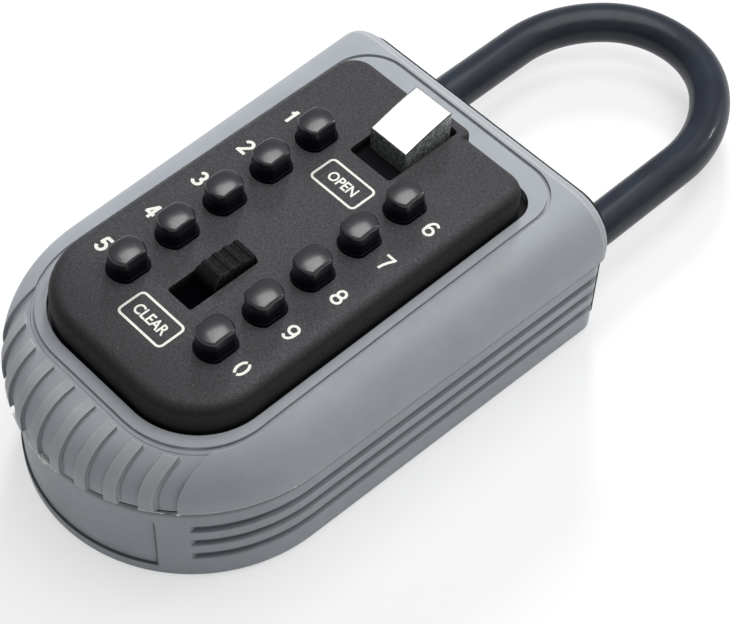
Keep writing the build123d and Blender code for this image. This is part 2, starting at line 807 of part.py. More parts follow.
# Thumb block of the open latch, with its flange and the leg to the bolt plate
with BuildPart() as open_thumb_block:
    with BuildSketch(Plane.YZ.offset(-thumb_half)):
        crown_point = (
            (thumb_front_y + thumb_rear_y) / 2,
            (thumb_front_z + thumb_rear_z) / 2 + thumb_crown,
        )
        with BuildLine():
            Polyline(
                (thumb_front_y, thumb_front_z),
                (thumb_front_y, latch_flange_low_z),
                (thumb_rear_y, latch_flange_low_z),
                (thumb_rear_y, thumb_rear_z),
            )
            ThreePointArc(
                (thumb_rear_y, thumb_rear_z), crown_point, (thumb_front_y, thumb_front_z)
            )
        make_face()
    extrude(amount=2 * thumb_half)
    low_edges = open_thumb_block.faces().sort_by(Axis.Z)[0].edges()
    fillet(open_thumb_block.edges() - low_edges, thumb_edge_round)
    with BuildSketch(Plane.XY.offset(latch_flange_low_z)):
        bar(
            latch_flange_half,
            latch_flange_front_y,
            cover_top_y - cover_wall - latch_flange_gap,
        )
    extrude(amount=latch_flange_thickness)
    with BuildSketch(Plane.XY.offset(code_plate_top_z)):
        bar(latch_leg_half, latch_leg_front_y, latch_leg_rear_y)
    extrude(amount=latch_flange_low_z - code_plate_top_z)
finish(open_thumb_block, "open_thumb_block")

# Ridged thumb piece of the clear slide, with its flange and leg
def clear_block(grow):
    """The thumb piece with its rounded nose and crowned top, raised by grow."""
    nose_start = (clear_front_y, face_z - clear_nose_drop)
    nose_end = (clear_front_y + clear_nose_length, face_z + clear_front_rise + grow)
    rear_end = (clear_rear_y, face_z + clear_rear_rise + grow)
    crown_z = (nose_end[1] + rear_end[1]) / 2 + clear_crown
    with BuildPart() as block:
        with BuildSketch(Plane.YZ.offset(-clear_half)):
            with BuildLine():
                Polyline(
                    rear_end,
                    (clear_rear_y, clear_flange_low_z),
                    (clear_front_y, clear_flange_low_z),
                    nose_start,
                )
                TangentArc(nose_start, nose_end, tangent=(0, 1))
                ThreePointArc(nose_end, ((nose_end[0] + clear_rear_y) / 2, crown_z), rear_end)
            make_face()
        extrude(amount=2 * clear_half)
        crown = block.faces().filter_by(GeomType.CYLINDER).sort_by(Axis.Y)[-1]
        fillet(crown.edges().filter_by(Axis.X, reverse=True), clear_side_round)
    return block.part


with BuildPart() as clear_thumb:
    add(clear_block(0))
    with BuildSketch(Plane.XY.offset(face_z)):
        for ridge in range(clear_ridges):
            ridge_rear_y = clear_rear_y - ridge * ridge_pitch
            bar(clear_half, ridge_rear_y - ridge_width, ridge_rear_y)
    extrude(amount=clear_front_rise + 2 * clear_crown + ridge_height)
    add(clear_block(ridge_height), mode=Mode.INTERSECT)
    with BuildSketch(Plane.XY.offset(clear_flange_low_z)):
        bar(clear_flange_half, clear_flange_front_y, clear_flange_rear_y)
    extrude(amount=clear_flange_thickness)
    with BuildSketch(Plane.XY.offset(clear_plate_top_z)):
        bar(clear_leg_half, clear_leg_front_y, clear_leg_rear_y)
    extrude(amount=clear_flange_low_z - clear_plate_top_z)
finish(clear_thumb, "clear_thumb")


# Springs, each drawn as the plain tube that its turns fill
def slide_spring(seat_y, push_y):
    """A spring along Y between its seat and the leg that it pushes."""
    with BuildPart() as spring:
        with BuildSketch(Plane.XZ.offset(-min(seat_y, push_y))):
            with Locations((0, slide_spring_z)):
                Circle(slide_spring_radius)
                Circle(slide_spring_bore, mode=Mode.SUBTRACT)
        extrude(amount=-abs(push_y - seat_y))
    return spring


finish(slide_spring(open_seat_y, latch_leg_front_y), "open_spring")
finish(slide_spring(clear_seat_y, clear_leg_front_y), "clear_spring")

for (x, y), digit in zip(button_places, button_names):
    # Double-flatted cap on a round collar, with the flange and stem below
    with BuildPart() as button:
        with BuildSketch(Plane.XY.offset(face_z + collar_rise)):
            with Locations((x, y)):
                add(flatted(0))
        with BuildSketch(Plane.XY.offset(face_z + button_height)):
            with Locations((x, y)):
                add(flatted(-cap_narrowing))
        loft()
        with Locations((x, y, face_z + button_height - cap_crown_radius)):
            Sphere(cap_crown_radius, mode=Mode.INTERSECT)
        fillet(button.faces().sort_by(Axis.Z)[-1].edges(), cap_edge_round)
        with BuildSketch(Plane.XY.offset(underside_z)):
            with Locations((x, y)):
                add(flatted(collar_step))
        extrude(amount=cover_plate + collar_rise)
        with BuildSketch(Plane.XY.offset(flange_low_z)):
            with Locations((x, y)):
                Circle(flange_radius)
        extrude(amount=flange_thickness)
        with BuildSketch(Plane.XY.offset(stem_low_z)):
            with Locations((x, y)):
                Circle(stem_radius)
        extrude(amount=flange_low_z - stem_low_z)
        # Groove that the clear plate catches while the button is down
        with BuildSketch(Plane.XY.offset(clear_plate_low_z + button_travel)):
            with Locations((x, y)):
                Circle(flange_radius)
                Circle(stem_radius - groove_sink, mode=Mode.SUBTRACT)
        extrude(amount=clear_plate_thickness, mode=Mode.SUBTRACT)
    finish(button, f"button_{digit}")

    with BuildPart() as button_spring:
        with BuildSketch(Plane.XY.offset(guide_top_z)):
            with Locations((x, y)):
                Circle(button_spring_radius)
                Circle(button_spring_bore, mode=Mode.SUBTRACT)
        extrude(amount=flange_low_z - guide_top_z)
    finish(button_spring, f"button_spring_{digit}")

    # Coding peg: notched shank, and a head with a screwdriver slot
    with BuildPart() as code_peg:
        with BuildSketch(Plane.XY.offset(peg_tip_z)):
            with Locations((x, y)):
                Circle(peg_head_radius)
        extrude(amount=peg_head_top_z - peg_tip_z)
        with BuildSketch(Plane.XY.offset(peg_head_top_z)):
            with Locations((x, y)):
                Circle(stem_radius)
        extrude(amount=stem_low_z - peg_head_top_z)
        with BuildSketch(Plane.XY.offset(code_plate_low_z - plate_gap)):
            with Locations((x + 2 * stem_radius - peg_notch_depth, y)):
                Rectangle(2 * stem_radius, 2 * stem_radius)
        extrude(amount=code_plate_thickness + 2 * plate_gap, mode=Mode.SUBTRACT)
        with BuildSketch(Plane.XY.offset(peg_tip_z)):
            with Locations((x, y)):
                Rectangle(2 * peg_head_radius, peg_slot_width)
        extrude(amount=peg_slot_depth, mode=Mode.SUBTRACT)
    finish(code_peg, f"code_peg_{digit}")
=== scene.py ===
import json
from math import cos, pi, radians, sin
from random import Random

import bmesh
import bpy
from bpy.props import FloatProperty, FloatVectorProperty, PointerProperty
from mathutils import Matrix, Vector


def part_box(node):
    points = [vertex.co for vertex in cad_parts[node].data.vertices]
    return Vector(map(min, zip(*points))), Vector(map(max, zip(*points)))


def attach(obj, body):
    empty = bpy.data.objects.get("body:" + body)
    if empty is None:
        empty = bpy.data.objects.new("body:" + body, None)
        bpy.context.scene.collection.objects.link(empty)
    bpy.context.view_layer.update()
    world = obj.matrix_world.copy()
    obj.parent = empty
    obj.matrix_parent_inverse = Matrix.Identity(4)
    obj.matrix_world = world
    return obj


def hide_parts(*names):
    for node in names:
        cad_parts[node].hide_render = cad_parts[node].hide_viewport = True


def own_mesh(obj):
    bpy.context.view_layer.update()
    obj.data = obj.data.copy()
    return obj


bl_info = {
    "name": "Combination key safe",
    "version": (1, 0, 0),
    "blender": (4, 5, 0),
    "location": "3D View > Sidebar > Key safe",
    "description": "Finishes, printing and small shaped pieces of a push-button key safe",
    "category": "Object",
}

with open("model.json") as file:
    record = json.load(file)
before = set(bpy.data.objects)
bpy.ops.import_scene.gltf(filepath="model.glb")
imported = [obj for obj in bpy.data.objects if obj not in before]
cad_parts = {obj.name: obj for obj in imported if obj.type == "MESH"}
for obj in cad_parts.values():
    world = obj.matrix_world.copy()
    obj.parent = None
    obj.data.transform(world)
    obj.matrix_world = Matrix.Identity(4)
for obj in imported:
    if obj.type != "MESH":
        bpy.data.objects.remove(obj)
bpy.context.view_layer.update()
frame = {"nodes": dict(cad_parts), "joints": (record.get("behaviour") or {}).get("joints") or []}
MM = 0.001

# Places read from the frame
FACE_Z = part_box("front_cover")[1].z
COVER_END_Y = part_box("front_cover")[1].y
LIP_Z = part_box("rubber_jacket")[1].z
DIGITS = ["1", "2", "3", "4", "5", "6", "7", "8", "9", "0"]
BUTTON_BOXES = {digit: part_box(f"button_{digit}") for digit in DIGITS}

# A button's finish turns from dull to glossy between these heights
DULL_Z = FACE_Z + 2.4 * MM
GLOSSY_Z = BUTTON_BOXES["1"][1].z - 0.7 * MM

# Painted shade darkens the cover's coat between these places toward the foot, and a little toward the
# shackle
FOOT_SHADE_Y = (-24 * MM, -40 * MM)
SHACKLE_SHADE_Y = (10 * MM, 34 * MM)

# Sizes of the jacket's moulded forms, which its finish and its flash follow
FOOT_CENTRE_Y = -18.5 * MM
BULGE_RADIUS = 32.0 * MM
STEP_Z = 22.0 * MM
SHADOW_HEIGHT = 2.9 * MM
SEAM_CORNER = 16.3 * MM
SEAM_CORNER_X = 8.6 * MM
SEAM_CORNER_Y = -24.2 * MM
LIP_REACH = 14.8 * MM
RIB_PITCH = 5.3 * MM
RIB_WIDTH = 2.1 * MM
RIB_START = 1.15 * MM
TREAD_HALF = 22.5 * MM
PANEL_HALF = 18.5 * MM
PANEL_MIDDLE_Z = 10.5 * MM
PANEL_HALF_HEIGHT = 7.0 * MM
END_LINE_Y = 47.9 * MM

# Torn flash under the bulge: first and last angle in degrees and its drop in millimetres
FLASHES = (
    (250, 256, 0.5),
    (260, 266, 1.5),
    (264.5, 272, 2.3),
    (271, 276, 1.1),
    (283, 286, 0.4),
    (294, 297, 0.35),
    (306, 311, 0.45),
    (313.5, 317, 0.8),
    (349.5, 352, 0.6),
)
FLASH_STEP = 0.22 * MM
FLASH_ROOT = 0.1 * MM
FLASH_THICKNESS = 0.09 * MM

# The labels' words and where their middles lie along the face
LABELS = (("OPEN", 16.15 * MM), ("CLEAR", -26.5 * MM))
LETTER_NARROWING = 0.86
LETTER_BOLDNESS = 0.02
LETTER_DEPTH = 0.02

# Springs: pitch of the turns as a multiple of the wire, sides of the wire and steps in a turn
COIL_PITCH = 2.2
WIRE_SIDES = 8
TURN_STEPS = 18

# Stage: side of the floor in metres, and how white the floor and the room look by themselves
FLOOR_SIZE = 6
FLOOR_GLOW = 0.6
ROOM_GLOW = 0.3

# Where the photo's camera stands, and which way its right, its top and its back point
CAMERA_PLACE = Vector((0.1643996, -0.1452290, 0.3086782))
CAMERA_RIGHT = Vector((0.6906, 0.7228, 0.0259))
CAMERA_UP = Vector((-0.5884, 0.5407, 0.6012))
CAMERA_BACK = Vector((0.4205, -0.4304, 0.7987))


def middle(box):
    """The centre of a box given by its lowest and highest corners."""
    return (box[0] + box[1]) / 2


class DressSizes(bpy.types.PropertyGroup):
    """Sizes of the printing on the face and of the spring wire."""

    wire: FloatProperty(
        name="Spring wire", description="Diameter of a spring's wire as a share of its radius",
        default=0.27, min=0.1, max=0.5, subtype="FACTOR")
    digit_height: FloatProperty(
        name="Digit height", description="Height of a number beside its button",
        default=3.4 * MM, unit="LENGTH")
    digit_width: FloatProperty(
        name="Digit width", description="Width of a number beside its button",
        default=2.3 * MM, unit="LENGTH")
    digit_x: FloatProperty(
        name="Digit distance", description="Distance of the numbers from the middle of the face",
        default=17.3 * MM, unit="LENGTH")
    left_stroke: FloatProperty(
        name="Left strokes", description="Width of the strokes of the numbers 1 to 5",
        default=0.62 * MM, unit="LENGTH")
    right_stroke: FloatProperty(
        name="Right strokes", description="Width of the strokes of the numbers 6 to 0",
        default=0.5 * MM, unit="LENGTH")
    word_height: FloatProperty(
        name="Word height", description="Height of the capital letters in the labels",
        default=2.15 * MM, unit="LENGTH")
    label_half: FloatProperty(
        name="Label half width", description="Half the width of a label's frame, to its line",
        default=5.25 * MM, unit="LENGTH")
    label_height: FloatProperty(
        name="Label height", description="Height of a label's frame, to its line",
        default=5.6 * MM, unit="LENGTH")
    line: FloatProperty(
        name="Frame line", description="Width of the line round a label",
        default=0.45 * MM, unit="LENGTH")
    label_corner: FloatProperty(
        name="Label corner", description="Radius of the outer corners of a label's frame",
        default=1.1 * MM, unit="LENGTH")
    ink: FloatProperty(
        name="Ink thickness", description="Height of the ink above the face",
        default=0.03 * MM, unit="LENGTH")


class FinishColours(bpy.types.PropertyGroup):
    """Base colours of the finishes."""

    jacket: FloatVectorProperty(
        name="Jacket", description="Grey of the rubber jacket", subtype="COLOR",
        size=3, min=0, max=1, default=(0.336, 0.358, 0.386))
    cover: FloatVectorProperty(
        name="Cover", description="Black of the powder-coated cover", subtype="COLOR",
        size=3, min=0, max=1, default=(0.038, 0.037, 0.0405))
    button: FloatVectorProperty(
        name="Buttons", description="Black of the glossy buttons", subtype="COLOR",
        size=3, min=0, max=1, default=(0.003, 0.003, 0.0065))
    sleeve: FloatVectorProperty(
        name="Sleeve", description="Dark vinyl of the shackle sleeve", subtype="COLOR",
        size=3, min=0, max=1, default=(0.0115, 0.0145, 0.022))
    ink: FloatVectorProperty(
        name="Ink", description="Off-white of the printing", subtype="COLOR",
        size=3, min=0, max=1, default=(0.80, 0.79, 0.73))


class StageSettings(bpy.types.PropertyGroup):
    """Floor, lamps and camera."""

    floor: FloatVectorProperty(
        name="Floor", description="Colour of the floor", subtype="COLOR",
        size=3, min=0, max=1, default=(0.93, 0.94, 0.95))
    key_power: FloatProperty(
        name="Overhead lamp", description="Power of the large overhead lamp",
        default=5.15, unit="POWER")
    fill_power: FloatProperty(
        name="Back lamp", description="Power of the lamp behind the shackle",
        default=4.5, unit="POWER")
    glint_power: FloatProperty(
        name="Glint lamp", description="Power of the small lamp that glints on the black rims",
        default=0.9, unit="POWER")
    sky: FloatProperty(
        name="Room light", description="Strength of the even light of the room", default=0.12)
    lens: FloatProperty(
        name="Lens", description="Focal length of the camera in millimetres", default=102.09)


# Shared ways of working
def deselect():
    """Leave edit mode and select nothing."""
    if bpy.context.object and bpy.context.object.mode != "OBJECT":
        bpy.ops.object.mode_set(mode="OBJECT")
    bpy.ops.object.select_all(action="DESELECT")


def select_only(piece):
    """Select one object and make it the active one."""
    deselect()
    piece.select_set(True)
    bpy.context.view_layer.objects.active = piece


def apply_modifier(piece, kind, **settings):
    """Add a modifier, set it and apply it."""
    select_only(piece)
    modifier = piece.modifiers.new(kind.title(), kind)
    for key, value in settings.items():
        setattr(modifier, key, value)
    bpy.ops.object.modifier_apply(modifier=modifier.name)


def settle(piece):
    """Put a piece's place into its mesh, so that its object sits at the origin."""
    select_only(piece)
    bpy.ops.object.transform_apply(location=True, rotation=True, scale=True)


def close_up(piece):
    """Merge doubled points and turn every face outwards."""
    select_only(piece)
    bpy.ops.object.mode_set(mode="EDIT")
    bpy.ops.mesh.select_all(action="SELECT")
    bpy.ops.mesh.remove_doubles(threshold=0.001 * MM)
    bpy.ops.mesh.normals_make_consistent(inside=False)
    bpy.ops.object.mode_set(mode="OBJECT")


def hand_over(piece, name, body, finish):
    """Name a finished piece, give it its finish and let it ride on its body."""
    piece.name = name
    piece.data.name = name
    piece.data.materials.clear()
    piece.data.materials.append(finish)
    select_only(piece)
    bpy.ops.object.shade_smooth_by_angle(angle=radians(30))
    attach(piece, body)


def ribbons(name, strips, thickness, offset):
    """Thin solid strips, each drawn as pairs of points along its two edges."""
    form = bmesh.new()
    for strip in strips:
        rows = [[form.verts.new(point) for point in pair] for pair in strip]
        for first, second in zip(rows, rows[1:]):
            form.faces.new((first[0], first[1], second[1], second[0]))
    mesh = bpy.data.meshes.new(name)
    form.to_mesh(mesh)
    form.free()
    piece = bpy.data.objects.new(name, mesh)
    bpy.context.collection.objects.link(piece)
    close_up(piece)
    apply_modifier(piece, "SOLIDIFY", thickness=thickness, offset=offset)
    return piece


def coat(finish, *names):
    """Give CAD nodes their finish."""
    for name in names:
        node = frame["nodes"][name]
        node.data.materials.clear()
        node.data.materials.append(finish)


class Recipe:
    """The nodes of one finish: a Principled shader fed by patterns on Object coordinates."""

    def __init__(self, name, roughness, metallic=0.0, specular=0.5, coat=0.0):
        self.material = bpy.data.materials.new(name)
        self.material.use_nodes = True
        self.nodes = self.material.node_tree.nodes
        self.links = self.material.node_tree.links
        self.shader = self.nodes["Principled BSDF"]
        self.shader.inputs["Roughness"].default_value = roughness
        self.shader.inputs["Metallic"].default_value = metallic
        self.shader.inputs["Specular IOR Level"].default_value = specular
        self.shader.inputs["Coat Weight"].default_value = coat
        self.place = self.nodes.new("ShaderNodeTexCoord").outputs["Object"]
        self.normal = None

    def stretched(self, x, y, z):
        """Object coordinates drawn out along the axes."""
        mapping = self.nodes.new("ShaderNodeMapping")
        mapping.inputs["Scale"].default_value = (x, y, z)
        self.links.new(self.place, mapping.inputs["Vector"])
        return mapping.outputs["Vector"]

    def noise(self, size, detail=3.0, rough=0.55, place=None):
        """Cloudy pattern with features of this size in millimetres."""
        node = self.nodes.new("ShaderNodeTexNoise")
        node.inputs["Scale"].default_value = 1 / (size * MM)
        node.inputs["Detail"].default_value = detail
        node.inputs["Roughness"].default_value = rough
        self.links.new(place or self.place, node.inputs["Vector"])
        return node.outputs["Fac"]

    def specks(self, pitch):
        """Distance from scattered points, one for each pitch in millimetres."""
        node = self.nodes.new("ShaderNodeTexVoronoi")
        node.inputs["Scale"].default_value = 1 / (pitch * MM)
        self.links.new(self.place, node.inputs["Vector"])
        return node.outputs["Distance"]

    def band(self, value, low, high, out_low=0.0, out_high=1.0):
        """Map low..high of a value to out_low..out_high, held at the ends."""
        node = self.nodes.new("ShaderNodeMapRange")
        for socket, number in zip(("From Min", "From Max", "To Min", "To Max"),
                                  (low, high, out_low, out_high)):
            node.inputs[socket].default_value = number
        self.links.new(value, node.inputs["Value"])
        return node.outputs["Result"]

    def calc(self, operation, first, second=0.0):
        """One step of arithmetic on values or numbers."""
        node = self.nodes.new("ShaderNodeMath")
        node.operation = operation
        for socket, value in zip(node.inputs, (first, second)):
            if isinstance(value, bpy.types.NodeSocket):
                self.links.new(value, socket)
            else:
                socket.default_value = value
        return node.outputs["Value"]

    def times(self, first, *others):
        """The product of values."""
        for other in others:
            first = self.calc("MULTIPLY", first, other)
        return first

    def away(self, value, centre):
        """How far a value is from a centre."""
        return self.calc("ABSOLUTE", self.calc("SUBTRACT", value, centre))

    def axis(self, name):
        """One of the object coordinates."""
        node = self.nodes.new("ShaderNodeSeparateXYZ")
        self.links.new(self.place, node.inputs["Vector"])
        return node.outputs[name]

    def facing_up(self):
        """How far the surface faces up."""
        node = self.nodes.new("ShaderNodeSeparateXYZ")
        surface = self.nodes.new("ShaderNodeTexCoord")
        self.links.new(surface.outputs["Normal"], node.inputs["Vector"])
        return node.outputs["Z"]

    def mix(self, amount, first, second):
        """Blend two colours; either may come from another node."""
        node = self.nodes.new("ShaderNodeMix")
        node.data_type = "RGBA"
        self.links.new(amount, node.inputs[0])
        for index, colour in ((6, first), (7, second)):
            if isinstance(colour, bpy.types.NodeSocket):
                self.links.new(colour, node.inputs[index])
            else:
                node.inputs[index].default_value = (*colour, 1.0)
        return node.outputs[2]

    def rounded(self, radius):
        """Directions of the surface with its hard edges rounded by this radius in millimetres."""
        bevel = self.nodes.new("ShaderNodeBevel")
        bevel.samples = 6
        bevel.inputs["Radius"].default_value = radius * MM
        return bevel.outputs["Normal"]

    def edges(self, radius, low, high):
        """Bright along edges, within a radius in millimetres."""
        surface = self.nodes.new("ShaderNodeNewGeometry")
        turn = self.nodes.new("ShaderNodeVectorMath")
        turn.operation = "DOT_PRODUCT"
        self.links.new(self.rounded(radius), turn.inputs[0])
        self.links.new(surface.outputs["Normal"], turn.inputs[1])
        return self.band(turn.outputs["Value"], high, low)

    def soften(self, radius):
        """Round the look of hard edges by this radius in millimetres."""
        self.normal = self.rounded(radius)
        self.links.new(self.normal, self.shader.inputs["Normal"])

    def relief(self, height, depth, strength=1.0):
        """Small relief of this depth in millimetres."""
        bump = self.nodes.new("ShaderNodeBump")
        bump.inputs["Distance"].default_value = depth * MM
        bump.inputs["Strength"].default_value = strength
        self.links.new(height, bump.inputs["Height"])
        if self.normal:
            self.links.new(self.normal, bump.inputs["Normal"])
        self.normal = bump.outputs["Normal"]
        self.links.new(self.normal, self.shader.inputs["Normal"])

    def feed(self, socket, value):
        """Drive one of the shader's sockets."""
        self.links.new(value, self.shader.inputs[socket])


def darker(colour, share):
    """The colour at a share of its brightness."""
    return tinted(colour, share, share, share)


def tinted(colour, *shares):
    """The colour with each channel at its own share."""
    return tuple(channel * share for channel, share in zip(colour, shares))


# Finishes
def jacket_rubber(grey):
    """Satin moulded rubber: mottling, dust, paler and warmer rib tops, painted highlights on the rib
    rims, the hard edges and the end line, and painted shade at the foot of the rib sides, under the
    bulge, along the panel's edges and on the lip's inner wall.
    """
    skin = Recipe("jacket_rubber", 0.5, specular=0.4)
    mottle = skin.band(skin.noise(9, 4), 0.3, 0.7)
    tone = skin.mix(mottle, darker(grey, 0.94), darker(grey, 1.05))
    rub = skin.band(skin.noise(3.2, 5, 0.6), 0.55, 0.75, 0, 0.35)
    tone = skin.mix(rub, tone, tinted(grey, 1.08, 1.04, 0.95))
    patchy = skin.band(skin.noise(2.4, 4), 0.3, 0.7, 0.25, 0.6)
    tops, rims, rib_foot_shade = rib_marks(skin)
    tone = skin.mix(skin.times(tops, patchy), tone, (0.41, 0.41, 0.395))
    # Painted highlight on the rib rims, and painted shade at the foot of the rib sides
    tone = skin.mix(skin.times(rims, 0.35), tone, (0.50, 0.51, 0.51))
    tone = skin.mix(skin.times(rib_foot_shade, 0.45), tone, (0.09, 0.095, 0.105))
    dust = skin.times(skin.band(skin.specks(1.3), 0.10, 0.04), 0.3)
    tone = skin.mix(dust, tone, (0.52, 0.53, 0.54))
    # Painted highlight along the hard edges of the moulding
    edge = skin.times(skin.edges(0.35, 0.80, 0.985), 0.5)
    tone = skin.mix(edge, tone, (0.56, 0.58, 0.59))
    # Painted highlight: a pale warm line along the end edge
    end_line_highlight = skin.band(skin.away(skin.axis("Y"), END_LINE_Y), 0.3 * MM, 0.12 * MM, 0, 0.4)
    tone = skin.mix(end_line_highlight, tone, (0.58, 0.565, 0.53))
    # Painted shade in the gap under the bulge, along the panel's edges and on the lip's inner wall
    tone = skin.mix(skin.times(crease_shade(skin), 0.85), tone, (0.045, 0.046, 0.048))
    skin.feed("Base Color", skin.mix(torn_line(skin), tone, (0.66, 0.66, 0.64)))
    skin.feed("Roughness", skin.band(skin.noise(1.8, 4), 0.3, 0.7, 0.44, 0.58))
    skin.soften(0.3)
    skin.relief(skin.noise(0.28, 3), 0.02, 0.6)
    skin.relief(skin.noise(5, 2), 0.05, 0.35)
    return skin.material


def reach_from_corner(skin):
    """Distance from the centre of the round foot corners, level along the sides and the foot."""
    across = skin.calc("SUBTRACT", skin.calc("ABSOLUTE", skin.axis("X")), SEAM_CORNER_X)
    along = skin.calc("SUBTRACT", SEAM_CORNER_Y, skin.axis("Y"))
    legs = [skin.calc("MAXIMUM", leg) for leg in (across, along)]
    return skin.calc("SQRT", skin.calc("ADD", *(skin.times(leg, leg) for leg in legs)))


def rib_marks(skin):
    """The tops of the tread ribs that wrap the foot, their rims, where a highlight is painted, and the
    foot of their sides, where a shade is painted.
    """
    reach = reach_from_corner(skin)
    start = SEAM_CORNER + RIB_START
    shifted = skin.calc("ADD", skin.axis("X"), RIB_PITCH / 2)
    ripple = skin.calc("PINGPONG", shifted, RIB_PITCH / 2)
    half = RIB_WIDTH / 2
    tread = skin.times(
        skin.band(reach, start, start + 0.1 * MM),
        skin.band(skin.axis("Z"), STEP_Z - 0.1 * MM, STEP_Z),
        skin.band(skin.calc("ABSOLUTE", skin.axis("X")), TREAD_HALF, TREAD_HALF - 0.1 * MM),
        skin.band(skin.axis("Y"), FOOT_CENTRE_Y, FOOT_CENTRE_Y - 0.1 * MM))
    tops = skin.times(tread, skin.band(ripple, half + 0.1 * MM, half - 0.1 * MM))
    rims = skin.times(tread, skin.band(skin.away(ripple, half - 0.1 * MM), 0.2 * MM, 0.06 * MM))
    rib_foot_shade = skin.times(tread, skin.band(skin.away(ripple, half + 0.16 * MM), 0.26 * MM, 0.1 * MM))
    return tops, rims, rib_foot_shade


def crease_shade(skin):
    """Painted shade in the gap under the bulge, along the foot panel's edges and on the lip's inner wall.
    """
    gap = skin.times(
        skin.band(skin.axis("Z"), STEP_Z - 0.02 * MM, STEP_Z - 0.12 * MM),
        skin.band(skin.axis("Z"), STEP_Z - SHADOW_HEIGHT, STEP_Z - SHADOW_HEIGHT / 2))
    across = skin.calc("SUBTRACT", skin.calc("ABSOLUTE", skin.axis("X")), PANEL_HALF)
    up = skin.calc("SUBTRACT", skin.away(skin.axis("Z"), PANEL_MIDDLE_Z), PANEL_HALF_HEIGHT)
    border = skin.calc("ABSOLUTE", skin.calc("MAXIMUM", across, up))
    foot = skin.band(skin.axis("Y"), FOOT_CENTRE_Y, FOOT_CENTRE_Y - 1 * MM)
    top = PANEL_MIDDLE_Z + PANEL_HALF_HEIGHT
    below_top = skin.band(skin.axis("Z"), top - 0.4 * MM, top - 0.9 * MM)
    line = skin.times(skin.band(border, 0.35 * MM, 0.12 * MM), foot, below_top)
    well = skin.times(
        skin.band(reach_from_corner(skin), LIP_REACH, LIP_REACH - 0.2 * MM),
        skin.band(skin.axis("Z"), LIP_Z - 0.15 * MM, LIP_Z - 0.45 * MM),
        skin.band(skin.axis("Y"), COVER_END_Y + 0.3 * MM, COVER_END_Y))
    return skin.calc("MAXIMUM", skin.calc("MAXIMUM", gap, line), well)


def torn_line(skin):
    """Broken pale line along the lower edge of the bulge, where its flash was torn off."""
    edge = skin.band(skin.away(skin.axis("Z"), STEP_Z + 0.1 * MM), 0.3 * MM, 0.12 * MM)
    broken = skin.band(skin.noise(1.6, 4, 0.7), 0.48, 0.6, 0.15, 1.0)
    foot = skin.band(skin.axis("Y"), FOOT_CENTRE_Y + 15 * MM, FOOT_CENTRE_Y, 0.25, 0.7)
    return skin.times(edge, broken, foot)


def powder_coat(name, black, grain, sunk=0.0):
    """Fine-textured powder coat with light specks and worn edges, with painted shade toward the foot and
    where sunk.
    """
    skin = Recipe(name, 0.55, specular=0.25)
    mottle = skin.band(skin.noise(6, 3), 0.3, 0.7)
    tone = skin.mix(mottle, darker(black, 0.94), tinted(black, 1.08, 1.01, 0.98))
    fine = skin.band(skin.noise(0.42, 2, 0.7), 0.38, 0.66)
    tone = skin.mix(fine, tone, darker(black, 1.9))
    # Painted shade: darker toward the foot, and a little toward the shackle
    foot = skin.band(skin.axis("Y"), *FOOT_SHADE_Y, 0, 0.8)
    shade = skin.calc("MAXIMUM", foot, skin.band(skin.axis("Y"), *SHACKLE_SHADE_Y, 0, 0.12))
    tone = skin.mix(shade, tone, darker(black, 0.3))
    speck = skin.times(skin.band(skin.specks(1.7), 0.07, 0.03), 0.4)
    tone = skin.mix(speck, tone, (0.42, 0.42, 0.41))
    wear = skin.times(skin.edges(0.5, 0.80, 0.99), skin.band(skin.noise(1.1, 4), 0.5, 0.66), 0.2)
    tone = skin.mix(wear, tone, (0.14, 0.125, 0.11))
    # Painted shade where the coat lies below the face
    low = skin.times(skin.band(skin.axis("Z"), FACE_Z - 0.02 * MM, FACE_Z - 1.2 * MM), sunk)
    skin.feed("Base Color", skin.mix(low, tone, darker(black, 0.1)))
    skin.feed("Roughness", skin.band(skin.noise(0.5, 2), 0.3, 0.7, 0.5, 0.68))
    skin.soften(0.25)
    skin.relief(skin.noise(0.42, 2, 0.7), grain, 1.0)
    return skin.material


def glossy_black(black):
    """Polished black moulding with a faint haze, duller toward the face."""
    skin = Recipe("glossy_black", 0.25, coat=0.2)
    haze = skin.band(skin.noise(2.2, 4), 0.35, 0.7)
    skin.feed("Base Color", skin.mix(haze, black, darker(black, 1.6)))
    skin.feed("Roughness", skin.band(skin.noise(1.2, 5, 0.6), 0.3, 0.75, 0.27, 0.38))
    skin.feed("Specular IOR Level", skin.band(skin.axis("Z"), DULL_Z, GLOSSY_Z, 0.04, 1.05))
    skin.soften(0.12)
    skin.relief(skin.noise(0.6, 2), 0.004, 0.4)
    return skin.material


def ridged_black(black):
    """Black moulding of the CLEAR thumb piece: satin above the face with painted highlights on its
    ridges, dull below it with painted shade.
    """
    skin = Recipe("ridged_black", 0.35)
    haze = skin.band(skin.noise(0.9, 4), 0.35, 0.7)
    # Painted highlight along the edges of the ridges
    edge = skin.times(skin.edges(0.16, 0.80, 0.98), 0.7)
    tone = skin.mix(haze, (0.004, 0.004, 0.0045), (0.014, 0.014, 0.016))
    above = skin.band(skin.axis("Z"), FACE_Z - 1.2 * MM, FACE_Z - 0.6 * MM)
    tone = skin.mix(edge, tone, (0.15, 0.15, 0.16))
    # Painted shade: below the face the moulding is painted darker, dull and barely reflective
    skin.feed("Base Color", skin.mix(above, darker(black, 0.3), tone))
    skin.feed("Roughness", skin.band(above, 0, 1, 0.95, 0.42))
    skin.feed("Specular IOR Level", skin.band(above, 0, 1, 0.02, 0.1))
    skin.soften(0.1)
    skin.relief(skin.noise(0.4, 2), 0.008, 0.5)
    return skin.material


def sleeve_vinyl(dark):
    """Dark vinyl with a soft gloss."""
    skin = Recipe("sleeve_vinyl", 0.38, specular=0.27, coat=0.12)
    haze = skin.band(skin.noise(7, 3), 0.3, 0.7)
    skin.feed("Base Color", skin.mix(haze, dark, darker(dark, 1.7)))
    skin.feed("Roughness", skin.band(skin.noise(2.5, 5, 0.6), 0.3, 0.7, 0.34, 0.44))
    return skin.material


